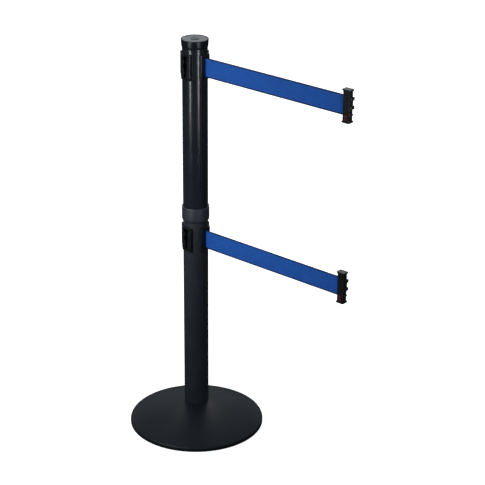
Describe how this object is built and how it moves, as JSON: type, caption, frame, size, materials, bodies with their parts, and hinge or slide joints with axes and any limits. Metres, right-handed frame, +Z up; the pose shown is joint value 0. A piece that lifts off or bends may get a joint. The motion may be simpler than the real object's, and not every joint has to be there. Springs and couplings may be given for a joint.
{
  "type": "retractable belt barrier",
  "caption": "Free-standing queue barrier: round post on a weighted domed base, with an upper and a lower retractable belt on sprung spools and spare belt receivers.",
  "frame": {"origin": "centre of the base's underside, on the floor, on the post's axis", "axes": "+Z up along the post, +X the way the belts are drawn out, receivers face -Y, -X and +Y"},
  "size_m": [0.6601, 0.35, 1.05],
  "materials": {
    "pad_rubber": "matt",
    "cast_weight": "rough",
    "bright_steel": "bright",
    "base_coat": "fine satin powder coat",
    "dark_steel": "oiled",
    "tube_coat_matt": "matt powder coat",
    "tube_coat_satin": "satin powder coat",
    "collar_plastic": "satin",
    "cap_plastic": "satin",
    "cap_disc_plastic": "polished",
    "plug_plastic": "satin",
    "inner_plastic": "moulded",
    "receiver_plastic": "moulded",
    "spool_plastic": "moulded",
    "bush_brass": "turned",
    "belt_webbing": "woven",
    "spring_steel": "tempered",
    "felt": "pressed",
    "end_plastic": "moulded",
    "tab_plastic": "moulded"
  },
  "bodies": {
    "post": {"floor_pad": "pad_rubber", "base_weight": "cast_weight", "base_bolt": "bright_steel", "base_washer": "bright_steel", "base_cover": "base_coat", "foot_plug": "dark_steel", "lower_tube": "tube_coat_matt", "mid_collar": "collar_plastic", "tube_joiner": "dark_steel", "upper_tube": "tube_coat_satin", "top_cap": "cap_plastic", "cap_disc": "cap_disc_plastic", "coin_plug": "plug_plastic", "upper_cassette_frame": "inner_plastic", "upper_cassette_lid": "inner_plastic", "upper_lid_screws": "bright_steel", "upper_belt_exit": "receiver_plastic", "upper_receiver_front": "receiver_plastic", "upper_receiver_side": "receiver_plastic", "upper_receiver_back": "receiver_plastic", "upper_guide_posts": "bright_steel", "upper_axle": "bright_steel", "upper_brake_washer": "felt", "lower_cassette_frame": "inner_plastic", "lower_cassette_lid": "inner_plastic", "lower_lid_screws": "bright_steel", "lower_belt_exit": "receiver_plastic", "lower_receiver_front": "receiver_plastic", "lower_receiver_side": "receiver_plastic", "lower_receiver_back": "receiver_plastic", "lower_guide_posts": "bright_steel", "lower_axle": "bright_steel", "lower_brake_washer": "felt"},
    "upper_belt_end": {"upper_end_body": "end_plastic", "upper_end_cap": "end_plastic", "upper_belt_pin": "bright_steel", "upper_tab_spring": "spring_steel", "upper_belt": "belt_webbing"},
    "upper_spool_set": {"upper_spool": "spool_plastic", "upper_spool_bushes": "bush_brass", "upper_belt_roll": "belt_webbing", "upper_mainspring": "spring_steel", "upper_spring_cup": "spring_steel"},
    "upper_release": {"upper_release_tab": "tab_plastic"},
    "lower_belt_end": {"lower_end_body": "end_plastic", "lower_end_cap": "end_plastic", "lower_belt_pin": "bright_steel", "lower_tab_spring": "spring_steel", "lower_belt": "belt_webbing"},
    "lower_spool_set": {"lower_spool": "spool_plastic", "lower_spool_bushes": "bush_brass", "lower_belt_roll": "belt_webbing", "lower_mainspring": "spring_steel", "lower_spring_cup": "spring_steel"},
    "lower_release": {"lower_release_tab": "tab_plastic"}
  },
  "joints": [
    {"name": "upper_belt_pull", "type": "slide", "parent": "post", "child": "upper_belt_end", "axis": [1, 0, 0], "range_m": [-0.424, 1.63], "deforming": ["upper_belt"]},
    {"name": "upper_spool_turn", "type": "hinge", "parent": "post", "child": "upper_spool_set", "pos_m": [0, 0, 0.9835], "axis": [0, 0, 1], "range_deg": [-6673, 1740]},
    {"name": "upper_release_press", "type": "slide", "parent": "upper_belt_end", "child": "upper_release", "axis": [-1, 0, 0], "range_m": [0, 0.003], "stiffness_N_per_m": 400, "springref_m": -0.002, "deforming": ["upper_tab_spring"]},
    {"name": "lower_belt_pull", "type": "slide", "parent": "post", "child": "lower_belt_end", "axis": [1, 0, 0], "range_m": [-0.424, 1.63], "deforming": ["lower_belt"]},
    {"name": "lower_spool_turn", "type": "hinge", "parent": "post", "child": "lower_spool_set", "pos_m": [0, 0, 0.5315], "axis": [0, 0, 1], "range_deg": [-6673, 1740]},
    {"name": "lower_release_press", "type": "slide", "parent": "lower_belt_end", "child": "lower_release", "axis": [-1, 0, 0], "range_m": [0, 0.003], "stiffness_N_per_m": 400, "springref_m": -0.002, "deforming": ["lower_tab_spring"]}
  ],
  "couplings": [
    {"joint": "upper_spool_turn", "follows": "upper_belt_pull", "rad_per_m": -71.4},
    {"joint": "lower_spool_turn", "follows": "lower_belt_pull", "rad_per_m": -71.4}
  ]
}
